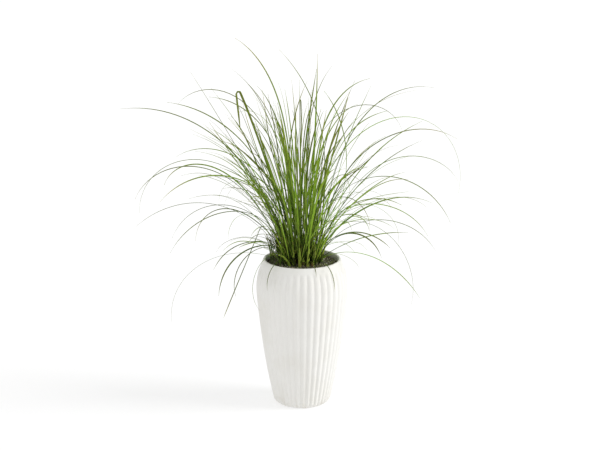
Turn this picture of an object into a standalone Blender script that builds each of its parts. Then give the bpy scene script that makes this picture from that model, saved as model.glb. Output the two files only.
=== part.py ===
"""Potted ornamental grass clump: a tall ribbed white pot, its compost and the shoots of the clump.

Units are metres and degrees, +Z is up, and the origin is the middle of the pot's flat foot.
A heading is an angle in plan: 0 points along +X, 90 along +Y, and -90 to the front.
"""

import itertools
import math
from typing import NamedTuple

import bmesh
import bpy
import numpy as np
from mathutils import Matrix

COLLECTION = "potted_ornamental_grass_clump"
GAP = 0.0003
WELD = 0.00001
SHARP_ANGLE = 45

# Pot. It is a plain turned wall whose outside is pressed into upright ribs.
POT_HEIGHT = 0.400
FOOT_RADIUS = 0.059
FOOT_CORNER = 0.019
FOOT_CORNER_START = -12
BELLY_RADIUS = 0.1220
LIP_RADIUS = 0.1000
LIP_HALF_WIDTH = 0.0038
LIP_START, LIP_END = 165, 25
ARC_PIECES = 2
MOUTH_RADIUS = 0.0962
MOUTH_LEVEL = POT_HEIGHT - 3 * LIP_HALF_WIDTH
WALL = 0.0085
FLOOR = 0.012
RIB_COUNT = 40
RIB_DEPTH = 0.0026
RIB_TURN = 2.25
RIB_TOP = 0.388
RIB_FULL_TOP = 0.374
RIB_FULL_FOOT = 0.012
POT_STEPS = 2 * RIB_COUNT

# The pot's side from the foot's rounded corner to the lip, as shares of belly radius and height.
SIDE = [
    (0.640, 0.046),
    (0.735, 0.180),
    (0.828, 0.340),
    (0.903, 0.504),
    (0.962, 0.660),
    (0.997, 0.785),
    (0.976, 0.880),
    (0.888, 0.963),
]

# Compost. Its top is level under the clump and falls a little towards the wall.
COMPOST_LEVEL = 0.3885
COMPOST_EDGE_LEVEL = 0.3860
CROWN_RADIUS = 0.060
COMPOST_STEPS = 40

# Shoots. A shoot stands on the compost and its blades part inside its sheath.
FOOT_LEVEL = COMPOST_LEVEL + GAP
BLADE_LEVEL = COMPOST_LEVEL + 0.0035
SHEATH_WIDTH = 0.0068
SHEATH_THICKNESS = 0.0046
SHEATH_HEIGHT = 0.058
SHEATH_HEAD_SHARE = 0.72
SHEATH_SIDES = 4
BLADE_WIDTH = 0.0058
BLADE_THICKNESS = 0.0020
BLADE_BASE_SHARE = 0.80
BLADE_TIP_SHARE = 0.16
BLADE_WIDEST_AT = 0.3
BLADE_TAPER = 2.4
BLADE_STEPS = 6
FOLD_LENGTH = 0.016
SPINE_STEPS = 96

# How far a shoot may turn about the axis, in degrees, or step along its ring, in millimetres, to
# stand clear of the others, and the room it keeps to them.
MOST_TURN = 15
MOST_STEP = 8
MILLIMETRE = 0.001
CLEARANCE = 0.0004

BLADE_COLOUR = (0.10, 0.24, 0.04)
POT_COLOUR = (0.84, 0.83, 0.80)
COMPOST_COLOUR = (0.030, 0.022, 0.015)


class Blade(NamedTuple):
    """A grass blade by its length, the angles at which it leaves and ends, and how late it bends."""

    length: float
    launch: float
    end: float
    bend: float
    fold_at: float = 0.0
    hang: float = 0.0


class Shoot(NamedTuple):
    """A shoot by the heading of its plane, its distance from the pot's axis and its blades."""

    heading: float
    ring: float
    blades: tuple


# The shoots whose blades stand clear in the picture, from the left side round to the right.
SEEN_SHOOTS = [
    Shoot(206, 0.048, (Blade(0.390, 62, 50, 1.0, 0.33, -65), Blade(0.530, 92, -45, 1.2))),
    Shoot(188, 0.044, (Blade(0.490, 64, -46, 1.2), Blade(0.580, 86, 8, 1.5))),
    Shoot(197, 0.038, (Blade(0.290, 94, -87, 0.6), Blade(0.580, 64, -70, 2.3))),
    Shoot(174, 0.046, (Blade(0.440, 18, -99, 1.3), Blade(0.630, 79, -92, 1.6))),
    Shoot(181, 0.032, (Blade(0.660, 75, -6, 1.5), Blade(0.430, 84, 60, 1.5))),
    Shoot(164, 0.040, (Blade(0.265, 94, -63, 0.5), Blade(0.490, 62, -71, 2.6))),
    Shoot(155, 0.048, (Blade(0.450, 73, -68, 1.0), Blade(0.510, 88, -36, 1.4))),
    Shoot(143, 0.040, (Blade(0.420, 42, -89, 1.9), Blade(0.390, 67, -101, 2.4))),
    Shoot(131, 0.046, (Blade(0.340, 39, -92, 2.1), Blade(0.510, 92, -29, 2.5))),
    Shoot(216, 0.040, (Blade(0.280, 63, -111, 1.1), Blade(0.480, 76, -56, 1.1))),
    Shoot(228, 0.048, (Blade(0.280, 70, -140, 0.9), Blade(0.140, 62, -102, 0.8))),
    Shoot(240, 0.042, (Blade(0.340, 75, 1, 1.6), Blade(0.400, 84, 10, 1.5))),
    Shoot(215, 0.024, (Blade(0.590, 89, 10, 1.8), Blade(0.540, 91, 45, 1.6))),
    Shoot(200, 0.026, (Blade(0.660, 83, -49, 3.3), Blade(0.595, 76, 58, 2.6, 0.828, -96))),
    Shoot(168, 0.022, (Blade(0.570, 70, 56, 0.5), Blade(0.400, 83, 72, 1.2))),
    Shoot(150, 0.014, (Blade(0.640, 86, 23, 3.4), Blade(0.460, 90, 78, 1.5))),
    Shoot(134, 0.026, (Blade(0.490, 84, 27, 3.5), Blade(0.400, 88, 60, 1.5))),
    Shoot(20, 0.008, (Blade(0.610, 68, 135, 1.3), Blade(0.500, 80, 64, 1.5))),
    Shoot(50, 0.014, (Blade(0.550, 83, 92, 2.8), Blade(0.540, 91, 31, 3.5))),
    Shoot(240, 0.016, (Blade(0.540, 59, 148, 1.4), Blade(0.480, 80, 62, 1.4))),
    Shoot(12, 0.046, (Blade(0.400, 70, -61, 0.9), Blade(0.620, 83, -13, 2.4))),
    Shoot(23, 0.032, (Blade(0.860, 92, -104, 1.4), Blade(0.450, 88, 58, 1.4))),
    Shoot(2, 0.038, (Blade(0.390, 92, -102, 1.3), Blade(0.590, 80, -35, 1.9))),
    Shoot(-9, 0.046, (Blade(0.320, 53, -60, 0.6), Blade(0.550, 72, -61, 2.2))),
    Shoot(-3, 0.026, (Blade(0.430, 90, -63, 1.0), Blade(0.550, 89, 11, 3.7))),
    Shoot(-16, 0.018, (Blade(0.630, 92, -76, 2.9), Blade(0.600, 84, 8, 2.0))),
    Shoot(-20, 0.034, (Blade(0.570, 92, -66, 1.2), Blade(0.420, 88, 52, 1.6))),
    Shoot(-31, 0.042, (Blade(0.500, 92, -107, 0.9), Blade(0.500, 64, 137, 2.1))),
    Shoot(-42, 0.046, (Blade(0.290, 58, -67, 1.8), Blade(0.380, 92, -99, 1.9))),
    Shoot(-50, 0.020, (Blade(0.510, 73, 69, 1.1), Blade(0.430, 84, 74, 1.2))),
    Shoot(-53, 0.046, (Blade(0.145, 62, -100, 0.8), Blade(0.410, 82, 10, 1.5))),
    Shoot(-71, 0.046, (Blade(0.090, 56, -86, 1.1), Blade(0.400, 80, 20, 1.4))),
    Shoot(31, 0.042, (Blade(0.430, 54, -28, 1.1), Blade(0.460, 70, 13, 0.9))),
    Shoot(43, 0.048, (Blade(0.320, 59, -44, 0.6), Blade(0.440, 69, -5, 1.5))),
    Shoot(54, 0.040, (Blade(0.470, 58, -54, 1.2), Blade(0.420, 84, 34, 1.6))),
    Shoot(22, 0.050, (Blade(0.270, 30, -10, 1.0), Blade(0.360, 84, 30, 1.5))),
]

# The shoots behind, in front and in the heart of the clump, which the picture shows as a mass.
FILL_SHOOTS = [
    Shoot(66, 0.046, (Blade(0.540, 60, -62, 1.3), Blade(0.520, 82, 10, 1.6))),
    Shoot(79, 0.038, (Blade(0.600, 74, -58, 1.6), Blade(0.460, 86, 34, 1.7))),
    Shoot(91, 0.048, (Blade(0.480, 52, -74, 1.2), Blade(0.560, 80, -6, 1.5))),
    Shoot(103, 0.038, (Blade(0.620, 76, -48, 1.7), Blade(0.440, 88, 40, 1.8))),
    Shoot(116, 0.046, (Blade(0.520, 56, -66, 1.4), Blade(0.520, 82, 14, 1.5))),
    Shoot(72, 0.026, (Blade(0.500, 84, -20, 2.2), Blade(0.470, 88, 60, 1.6))),
    Shoot(97, 0.024, (Blade(0.480, 86, -10, 2.4), Blade(0.480, 90, 64, 1.6))),
    Shoot(250, 0.034, (Blade(0.560, 80, -14, 1.6), Blade(0.420, 86, 50, 1.5))),
    Shoot(262, 0.046, (Blade(0.340, 74, -20, 1.5), Blade(0.400, 84, 30, 1.4))),
    Shoot(276, 0.036, (Blade(0.580, 82, -12, 1.7), Blade(0.440, 88, 50, 1.4))),
    Shoot(290, 0.036, (Blade(0.520, 76, -16, 1.5), Blade(0.430, 84, 40, 1.4))),
    Shoot(263, 0.022, (Blade(0.540, 84, 30, 1.8), Blade(0.440, 88, 70, 1.4))),
    Shoot(292, 0.022, (Blade(0.560, 84, 20, 1.8), Blade(0.460, 88, 66, 1.4))),
    Shoot(315, 0.010, (Blade(0.440, 86, 60, 2.0), Blade(0.470, 89, 80, 1.5))),
    Shoot(231, 0.034, (Blade(0.460, 84, 40, 1.8), Blade(0.430, 86, 54, 1.4))),
    Shoot(110, 0.008, (Blade(0.560, 90, 84, 1.5, 0.776, 266), Blade(0.480, 84, 80, 1.5))),
    Shoot(-38, 0.028, (Blade(0.540, 82, 20, 1.9), Blade(0.440, 88, 64, 1.5))),
    Shoot(184, 0.014, (Blade(0.560, 86, 40, 2.2), Blade(0.440, 89, 72, 1.5))),
]


def clear_scene():
    """Remove every object of the open scene."""
    for item in list(bpy.data.objects):
        bpy.data.objects.remove(item, do_unlink=True)


def new_material(name, colour, roughness, metallic=0.0):
    """Make a Principled material of one colour."""
    material = bpy.data.materials.new(name)
    material.use_nodes = True
    shader = material.node_tree.nodes["Principled BSDF"]
    shader.inputs["Base Color"].default_value = (*colour, 1.0)
    shader.inputs["Roughness"].default_value = roughness
    shader.inputs["Metallic"].default_value = metallic
    material.diffuse_color = (*colour, 1.0)
    return material


def new_object(name, mesh, collection):
    """Link a new object that shows this mesh."""
    item = bpy.data.objects.new(name, mesh)
    collection.objects.link(item)
    return item


def evaluated_mesh(item):
    """Return the mesh of an object with its modifiers or bevel applied."""
    graph = bpy.context.evaluated_depsgraph_get()
    return bpy.data.meshes.new_from_object(item.evaluated_get(graph))


def ease(value, low, high):
    """Rise smoothly from 0 at low to 1 at high."""
    share = min(max((value - low) / (high - low), 0.0), 1.0)
    return share * share * (3 - 2 * share)


def arc(centre, radius, start, end, pieces):
    """Return points along an arc in the plane of radius and height."""
    angles = np.radians(np.linspace(start, end, pieces + 1))
    return [(centre[0] + radius * math.cos(a), centre[1] + radius * math.sin(a)) for a in angles]


def pot_side():
    """Return the outer side of the pot from the foot's corner up to the lip."""
    return [(share * BELLY_RADIUS, level * POT_HEIGHT) for share, level in SIDE]


def pot_outside():
    """Return the outer profile from the lip's top down to the middle of the foot."""
    centre = (FOOT_RADIUS, FOOT_CORNER)
    corner = arc(centre, FOOT_CORNER, FOOT_CORNER_START, -90, ARC_PIECES)
    return pot_side()[::-1] + corner + [(0.0, 0.0)]


def pot_lip():
    """Return the rounded lip from its inner edge over to its outer edge."""
    centre = (LIP_RADIUS, POT_HEIGHT - LIP_HALF_WIDTH)
    return arc(centre, LIP_HALF_WIDTH, LIP_START, LIP_END, ARC_PIECES)


def pot_inside(gap=0.0):
    """Return the inner profile from the middle of the floor up to the mouth."""
    side = [(r - WALL - gap, z) for r, z in pot_side()[1:-1:2]]
    floor_edge = (side[0][0] - WALL, FLOOR + gap)
    return [(0.0, FLOOR + gap), floor_edge] + side + [(MOUTH_RADIUS - gap, MOUTH_LEVEL)]


def turned(name, profile, steps, collection):
    """Turn a profile about the Z axis and return the object with a plain mesh."""
    mesh = bpy.data.meshes.new(name)
    line = [(index, index + 1) for index in range(len(profile) - 1)]
    mesh.from_pydata([(r, 0.0, z) for r, z in profile], line, [])
    item = new_object(name, mesh, collection)
    item.rotation_euler.z = math.radians(RIB_TURN)
    screw = item.modifiers.new("Turn", "SCREW")
    screw.steps = steps
    screw.render_steps = steps
    screw.use_merge_vertices = True
    screw.merge_threshold = 0.0001
    screw.use_smooth_shade = True
    item.data = evaluated_mesh(item)
    item.modifiers.clear()
    bpy.data.meshes.remove(mesh)
    return item


def press_ribs(item):
    """Press the valleys between the ribs into the outer wall of the turned pot."""
    outer_at = dict((round(z, 6), r) for r, z in pot_outside() if r > 0)
    for vertex in item.data.vertices:
        x, y, z = vertex.co
        radius = math.hypot(x, y)
        if abs(radius - outer_at.get(round(z, 6), math.inf)) > GAP:
            continue
        turn = math.degrees(math.atan2(y, x)) * RIB_COUNT / 360
        valley = (1 - math.cos(2 * math.pi * turn)) / 2
        fade = 1 - ease(z, RIB_FULL_TOP, RIB_TOP)
        fade *= ease(z, 0.0, RIB_FULL_FOOT)
        share = 1 - RIB_DEPTH * valley * fade / radius
        vertex.co = (x * share, y * share, z)


def build_pot(collection):
    """Build the pot: one turned wall, with ribs on its outside."""
    profile = pot_inside() + pot_lip() + pot_outside()
    pot = turned("pot", profile, POT_STEPS, collection)
    press_ribs(pot)
    pot.data.set_sharp_from_angle(angle=math.radians(SHARP_ANGLE))
    pot.data.materials.append(new_material("pot_white", POT_COLOUR, 0.45))
    return pot


def build_compost(collection):
    """Build the compost that fills the pot to a little below the lip."""
    below = pot_inside(GAP)[:-1]
    edge = (MOUTH_RADIUS - 2 * GAP, COMPOST_EDGE_LEVEL)
    top = [(0.0, COMPOST_LEVEL), (CROWN_RADIUS, COMPOST_LEVEL), edge]
    compost = turned("compost", top + below[::-1], COMPOST_STEPS, collection)
    compost.data.set_sharp_from_angle(angle=math.radians(SHARP_ANGLE))
    compost.data.materials.append(new_material("compost_dark", COMPOST_COLOUR, 0.95))
    return compost


def blade_angles(blade, shares):
    """Return the climb of a blade, in radians, at these shares of its length."""
    climb = blade.launch + (blade.end - blade.launch) * shares**blade.bend
    if blade.fold_at:
        half = FOLD_LENGTH / blade.length / 2
        turn = np.clip((shares - blade.fold_at + half) / (2 * half), 0, 1)
        climb = climb + (blade.hang - climb) * turn
    return np.radians(climb)


def blade_spine(blade, ring):
    """Return the reach and level of a blade's midline in many small steps from root to tip."""
    shares = (np.arange(SPINE_STEPS) + 0.5) / SPINE_STEPS
    angles = blade_angles(blade, shares)
    step = blade.length / SPINE_STEPS
    reach = ring + np.concatenate([[0], np.cumsum(np.cos(angles))]) * step
    level = BLADE_LEVEL + np.concatenate([[0], np.cumsum(np.sin(angles))]) * step
    return np.stack([reach, level], 1)


def blade_share(share):
    """Return the width of a blade at a share of its length, as a share of its full width."""
    widening = BLADE_BASE_SHARE + (1 - BLADE_BASE_SHARE) * min(share / BLADE_WIDEST_AT, 1.0)
    return max(widening * (1 - share**BLADE_TAPER), BLADE_TIP_SHARE)


def spine_marks(blade):
    """Return the places along the spine where the solid has a section, closest where it bends."""
    shares = np.arange(SPINE_STEPS + 1) / SPINE_STEPS
    turned_by = np.abs(np.diff(blade_angles(blade, shares))).cumsum()
    need = shares + np.append(0, turned_by) / turned_by[-1]
    return np.interp(np.linspace(0, need[-1], BLADE_STEPS + 1), need, shares * SPINE_STEPS)


def section_curve(collection):
    """Make the blade's section: flat above and keeled below, as wide as the blade."""
    data = bpy.data.curves.new("blade_section", "CURVE")
    data.dimensions = "2D"
    half_width, half_thick = BLADE_WIDTH / 2, BLADE_THICKNESS / 2
    corners = [(half_thick, half_width), (half_thick, -half_width), (-half_thick, 0.0)]
    spline = data.splines.new("POLY")
    spline.points.add(len(corners) - 1)
    for point, (x, y) in zip(spline.points, corners):
        point.co = (x, y, 0.0, 1.0)
    spline.use_cyclic_u = True
    item = new_object("blade_section", data, collection)
    item.hide_render = True
    return item


def blade_solid(blade, ring, section, collection):
    """Sweep the section along a blade's spine and return a closed mesh object in its XZ plane."""
    spine = blade_spine(blade, ring)
    data = bpy.data.curves.new("blade", "CURVE")
    data.dimensions = "2D"
    data.fill_mode = "NONE"
    data.bevel_mode = "OBJECT"
    data.bevel_object = section
    data.use_fill_caps = True
    marks = spine_marks(blade)
    spline = data.splines.new("POLY")
    spline.points.add(len(marks) - 1)
    for point, mark in zip(spline.points, marks):
        reach = np.interp(mark, np.arange(SPINE_STEPS + 1), spine[:, 0])
        level = np.interp(mark, np.arange(SPINE_STEPS + 1), spine[:, 1])
        point.co = (reach, level, 0.0, 1.0)
        point.radius = blade_share(mark / SPINE_STEPS)
    curve = new_object("blade_curve", data, collection)
    bpy.context.view_layer.update()
    mesh = evaluated_mesh(curve)
    bpy.data.objects.remove(curve)
    mesh.transform(Matrix.Rotation(math.radians(90), 4, "X"))
    close_mesh(mesh)
    return new_object("blade", mesh, collection)


def close_mesh(mesh):
    """Weld the caps of a swept mesh and turn its faces outwards."""
    work = bmesh.new()
    work.from_mesh(mesh)
    bmesh.ops.remove_doubles(work, verts=work.verts, dist=WELD)
    bmesh.ops.recalc_face_normals(work, faces=work.faces)
    work.to_mesh(mesh)
    work.free()


def sheath_solid(shoot, collection):
    """Build the flattened sheath, which follows the steepest blade up from the compost."""
    steepest = max(shoot.blades, key=lambda blade: blade.launch)
    spine = blade_spine(steepest, shoot.ring)
    foot, head = spine[0], spine[round(SHEATH_HEIGHT / steepest.length * SPINE_STEPS)]
    mesh = bpy.data.meshes.new("sheath")
    work = bmesh.new()
    bmesh.ops.create_cone(
        work,
        cap_ends=True,
        segments=SHEATH_SIDES,
        radius1=0.5,
        radius2=0.5,
        depth=1.0,
    )
    for vertex in work.verts:
        top = vertex.co.z > 0
        size = SHEATH_HEAD_SHARE if top else 1.0
        middle = head[0] if top else foot[0]
        vertex.co.x = middle + vertex.co.x * SHEATH_THICKNESS * size
        vertex.co.y = vertex.co.y * SHEATH_WIDTH * size
        vertex.co.z = head[1] if top else FOOT_LEVEL
    work.to_mesh(mesh)
    work.free()
    return new_object("sheath", mesh, collection)


def join(solid, others):
    """Join the other solids into the first by Boolean unions and remove them."""
    for index, other in enumerate(others):
        union = solid.modifiers.new(f"Join {index}", "BOOLEAN")
        union.operation = "UNION"
        union.solver = "EXACT"
        union.object = other
    joined = evaluated_mesh(solid)
    solid.modifiers.clear()
    solid.data = joined
    for other in others:
        bpy.data.objects.remove(other)


def shoot_outline(shoot):
    """Return the midlines of a shoot's blades in space and the half width at each point."""
    heading = math.radians(shoot.heading)
    points, halves = [], []
    for blade in shoot.blades:
        spine = blade_spine(blade, shoot.ring)
        walked = np.arange(SPINE_STEPS + 1) * blade.length / SPINE_STEPS
        shares = walked / blade.length
        half = np.array([blade_share(share) for share in shares]) * BLADE_WIDTH / 2
        half = np.where(walked < SHEATH_HEIGHT, SHEATH_WIDTH / 2, half)
        x, y = spine[:, 0] * math.cos(heading), spine[:, 0] * math.sin(heading)
        points.append(np.stack([x, y, spine[:, 1]], 1))
        halves.append(half)
    return np.concatenate(points), np.concatenate(halves)


def stands_clear(outline, placed):
    """Tell whether a shoot's blades and sheath miss every shoot that already stands."""
    points, halves = outline
    for other_points, other_halves in placed:
        apart = ((points[:, None] - other_points[None]) ** 2).sum(axis=2)
        if (apart < (halves[:, None] + other_halves[None] + CLEARANCE) ** 2).any():
            return False
    return True


def possible_shifts():
    """List the turns and steps that a shoot may make to stand clear, the smallest first."""
    turns = [side * turn for turn in range(MOST_TURN + 1) for side in (1, -1)]
    steps = [side * step for step in range(0, MOST_STEP + 1, 2) for side in (1, -1)]
    return sorted(itertools.product(turns, steps), key=lambda shift: abs(shift[0]) + abs(shift[1]))


def settle(shoots):
    """Turn or step each shoot as little as it takes to stand clear of those before it."""
    placed, settled = [], []
    for shoot in shoots:
        for turn, step in possible_shifts():
            ring = shoot.ring + MILLIMETRE * step
            trial = shoot._replace(heading=shoot.heading + turn, ring=ring)
            outline = shoot_outline(trial)
            if ring > 0 and stands_clear(outline, placed):
                placed.append(outline)
                settled.append(trial)
                break
        else:
            raise ValueError(f"no clear place for the shoot at {shoot.heading}, {shoot.ring}")
    return settled


def build_shoot(name, shoot, section, collection, helpers):
    """Build one shoot: its sheath and blades joined into one solid, turned to its heading."""
    item = sheath_solid(shoot, collection)
    item.name = name
    item.data.name = name
    blades = [blade_solid(blade, shoot.ring, section, helpers) for blade in shoot.blades]
    join(item, blades)
    item.rotation_euler.z = math.radians(shoot.heading)
    item.data.set_sharp_from_angle(angle=math.radians(SHARP_ANGLE))
    item.data.materials.append(new_material(name + "_green", BLADE_COLOUR, 0.5))
    return item


def main():
    """Build the pot, the compost and every shoot."""
    clear_scene()
    parts = bpy.data.collections.new(COLLECTION)
    helpers = bpy.data.collections.new("helpers")
    bpy.context.scene.collection.children.link(parts)
    bpy.context.scene.collection.children.link(helpers)
    build_pot(parts)
    build_compost(parts)
    section = section_curve(helpers)
    for number, shoot in enumerate(settle(SEEN_SHOOTS + FILL_SHOOTS), 1):
        build_shoot(f"shoot_{number:02d}", shoot, section, parts, helpers)
    bpy.data.objects.remove(section)


main()
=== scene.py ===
"""Looks of the potted ornamental grass clump: a tall ribbed white pot, its compost and the clump.

Lengths are metres and angles are degrees unless a name says otherwise. +Z is up, -Y is the side
that faces the camera, and the origin is the middle of the pot's flat foot. A heading is an angle
in plan: 0 points along +X, 90 along +Y and -90 to the front.
"""

from __future__ import annotations

import dataclasses
import logging
import math
from collections.abc import Callable
from dataclasses import dataclass
from enum import Enum

import bpy
import numpy as np
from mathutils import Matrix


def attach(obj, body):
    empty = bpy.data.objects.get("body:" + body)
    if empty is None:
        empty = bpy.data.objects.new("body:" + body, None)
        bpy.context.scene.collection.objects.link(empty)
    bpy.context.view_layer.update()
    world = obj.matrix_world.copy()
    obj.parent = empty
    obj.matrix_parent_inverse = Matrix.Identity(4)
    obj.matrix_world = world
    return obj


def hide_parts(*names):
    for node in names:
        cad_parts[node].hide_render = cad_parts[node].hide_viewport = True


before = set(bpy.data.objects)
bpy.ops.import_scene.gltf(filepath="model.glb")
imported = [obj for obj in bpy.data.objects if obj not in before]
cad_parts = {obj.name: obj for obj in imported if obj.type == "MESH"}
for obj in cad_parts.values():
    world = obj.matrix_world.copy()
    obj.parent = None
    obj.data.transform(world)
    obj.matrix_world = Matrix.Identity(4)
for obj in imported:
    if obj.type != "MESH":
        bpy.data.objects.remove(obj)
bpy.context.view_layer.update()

LOG = logging.getLogger("grass_clump")
BODY = "root"

Colour = tuple[float, float, float, float]
Point = tuple[float, float, float]
Range = tuple[float, float]


class Slot(Enum):
    """The record's material slots."""

    POT = "pot_white"
    COMPOST = "compost_dark"
    LEAF = "leaf_green"


def srgb(red: int, green: int, blue: int) -> Colour:
    """Return the linear colour of a display colour given in steps of 0 to 255.

    Args:
        red: Red step.
        green: Green step.
        blue: Blue step.

    Returns:
        The linear colour with full alpha.
    """
    shares = [step / 255 for step in (red, green, blue)]
    linear = [s / 12.92 if s <= 0.04045 else ((s + 0.055) / 1.055) ** 2.4 for s in shares]
    return (linear[0], linear[1], linear[2], 1.0)


WHITE = srgb(255, 255, 255)


# --- Node trees ------------------------------------------------------------------------------


def operator(operation: str, swapped: bool = False) -> Callable[..., Value]:
    """Make a method of Value that adds one maths node.

    Args:
        operation: The node's operation.
        swapped: Whether the value comes second, as in 1 - value.

    Returns:
        The method.
    """

    def method(value: Value, *others: Operand) -> Value:
        """Add the node."""
        operands = (*others, value) if swapped else (value, *others)
        return value.tree.maths(operation, *operands)

    return method


class Value:
    """A node socket that takes part in Python expressions. Each operation adds a maths node.

    Angles are in radians for sin and cos, and radians() turns degrees into them. over() is 1 where
    the value is greater than the other, else 0.
    """

    __add__ = operator("ADD")
    __radd__ = operator("ADD", swapped=True)
    __sub__ = operator("SUBTRACT")
    __rsub__ = operator("SUBTRACT", swapped=True)
    __mul__ = operator("MULTIPLY")
    __rmul__ = operator("MULTIPLY", swapped=True)
    __truediv__ = operator("DIVIDE")
    __rtruediv__ = operator("DIVIDE", swapped=True)
    __pow__ = operator("POWER")
    __abs__ = operator("ABSOLUTE")
    sin = operator("SINE")
    cos = operator("COSINE")
    radians = operator("RADIANS")
    least = operator("MINIMUM")
    most = operator("MAXIMUM")
    over = operator("GREATER_THAN")

    def __init__(self, tree: Tree, socket: bpy.types.NodeSocket) -> None:
        """Keep the socket and the tree it is in."""
        self.tree = tree
        self.socket = socket

    def __neg__(self) -> Value:
        """Change the sign."""
        return self * -1.0

    @property
    def is_vector(self) -> bool:
        """Tell whether the socket carries a vector."""
        return self.socket.type == "VECTOR"

    def out(self, name: str) -> Value:
        """Return another output of the same node by its name."""
        return Value(self.tree, self.tree.pick(self.socket.node.outputs, name))

    def rise(self, low: Operand, high: Operand) -> Value:
        """Rise smoothly from 0 at low to 1 at high.

        Args:
            low: Where the rise starts.
            high: Where it ends.

        Returns:
            The share, from 0 to 1.
        """
        sockets = {"Value": self, "From Min": low, "From Max": high}
        return self.tree.node("ShaderNodeMapRange", {"interpolation_type": "SMOOTHSTEP"}, sockets)


Operand = Value | float


class Tree:
    """A node tree that is being built."""

    def __init__(self, nodes: bpy.types.NodeTree) -> None:
        """Keep the tree."""
        self.nodes = nodes

    @staticmethod
    def pick(sockets: bpy.types.bpy_prop_collection, key: int | str) -> bpy.types.NodeSocket:
        """Return the socket at a place, or the one of that name which is in use.

        Args:
            sockets: A node's inputs or outputs.
            key: The place or the name.

        Returns:
            The socket.
        """
        if isinstance(key, int):
            return sockets[key]
        return next(socket for socket in sockets if socket.name == key and socket.enabled)

    def node(self, kind: str, settings: dict | None = None, sockets: dict | None = None) -> Value:
        """Add a node.

        Args:
            kind: The node's type.
            settings: Its settings, set first. "stops" are the places and colours of its ramp.
            sockets: A value or a link for each socket, by name or place.

        Returns:
            The node's first output that is in use.
        """
        made = self.nodes.nodes.new(kind)
        for name, value in (settings or {}).items():
            if name == "stops":
                self.set_stops(made.color_ramp, value)
            else:
                setattr(made, name, value)
        for key, value in (sockets or {}).items():
            self.feed(self.pick(made.inputs, key), value)
        used = [socket for socket in made.outputs if socket.enabled]
        return Value(self, used[0]) if used else None

    @staticmethod
    def set_stops(ramp: bpy.types.ColorRamp, stops: list[tuple[float, Colour]]) -> None:
        """Give a colour ramp these stops.

        Args:
            ramp: The ramp.
            stops: Places from 0 to 1, each with its colour.
        """
        while len(ramp.elements) < len(stops):
            ramp.elements.new(1.0)
        for element, (place, colour) in zip(ramp.elements, stops):
            element.position = place
            element.color = colour

    def feed(self, socket: bpy.types.NodeSocket, value: object) -> None:
        """Link a value to a socket, or set the socket's own number, word or colour.

        Args:
            socket: The input that takes it.
            value: A Value to link, or what the socket itself is to hold.
        """
        if isinstance(value, Value):
            self.nodes.links.new(value.socket, socket)
        else:
            socket.default_value = value

    def maths(self, operation: str, *operands: Operand) -> Value:
        """Add a Math node, or a Vector Math node where a vector takes part.

        Args:
            operation: The operation's name, which both node types share.
            operands: Values and numbers, in order.

        Returns:
            The result.
        """
        vectors = [isinstance(item, Value) and item.is_vector for item in operands]
        if not any(vectors):
            return self.node("ShaderNodeMath", {"operation": operation}, dict(enumerate(operands)))
        if operation == "MULTIPLY" and not all(vectors):
            scale, vector = operands if vectors[1] else operands[::-1]
            sockets = {0: vector, "Scale": scale}
            return self.node("ShaderNodeVectorMath", {"operation": "SCALE"}, sockets)
        sockets = dict(enumerate(operands))
        return self.node("ShaderNodeVectorMath", {"operation": operation}, sockets)

    def vector(self, x: Operand, y: Operand, z: Operand) -> Value:
        """Join three numbers in a vector."""
        return self.node("ShaderNodeCombineXYZ", None, {"X": x, "Y": y, "Z": z})

    def split(self, vector: Value) -> tuple[Value, Value, Value]:
        """Part a vector into its three numbers."""
        x = self.node("ShaderNodeSeparateXYZ", None, {0: vector})
        return x, x.out("Y"), x.out("Z")

    def radius(self, x: Value, y: Value) -> Value:
        """Return the distance from the axis of a point with this x and y."""
        return self.maths("SQRT", x * x + y * y)

    def blend(self, share: Operand, first: object, second: object) -> Value:
        """Mix two colours: the first at share 0, the second at share 1."""
        sockets = {"Factor": share, "A": first, "B": second}
        return self.node("ShaderNodeMix", {"data_type": "RGBA"}, sockets)

    def coats(self, base: object, *coats: tuple[Operand, object]) -> Value:
        """Lay colours over a base one after another.

        Args:
            base: The lowest colour.
            coats: The share and the colour of each coat.

        Returns:
            The colour that shows.
        """
        for share, colour in coats:
            base = self.blend(share, base, colour)
        return base

    def noise(self, place: Value, scale: float, detail: float = 3.0, rough: float = 0.5) -> Value:
        """Return soft noise around 0.5 with so many features to a metre."""
        sockets = {"Vector": place, "Scale": scale, "Detail": detail, "Roughness": rough}
        return self.node("ShaderNodeTexNoise", None, sockets)


class MaterialTree(Tree):
    """The tree of a new Principled material."""

    def __init__(self, name: str) -> None:
        """Make the material.

        Args:
            name: Its name.
        """
        self.material = bpy.data.materials.new(name)
        self.material.use_nodes = True
        super().__init__(self.material.node_tree)
        self.shader = self.nodes.nodes["Principled BSDF"]

    def place(self) -> Value:
        """Return the point in the object's own space."""
        return self.node("ShaderNodeTexCoord").out("Object")

    def painted(self, name: str) -> Value:
        """Return a number that the mesh carries under this name."""
        return self.node("ShaderNodeAttribute", {"attribute_name": name}).out("Fac")

    def bump(self, height: Value, strength: float, distance: float) -> Value:
        """Return a normal that shows this height.

        Args:
            height: Height from 0 to 1.
            strength: How much of the bump shows.
            distance: The real height of a full step, in metres.

        Returns:
            The normal.
        """
        sockets = {"Strength": strength, "Distance": distance, "Height": height}
        return self.node("ShaderNodeBump", None, sockets)

    def finish(self, sockets: dict) -> bpy.types.Material:
        """Feed the shader's sockets.

        Args:
            sockets: A value or a link for each socket, by name.

        Returns:
            The material.
        """
        for name, value in sockets.items():
            self.feed(self.shader.inputs[name], value)
        return self.material


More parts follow.
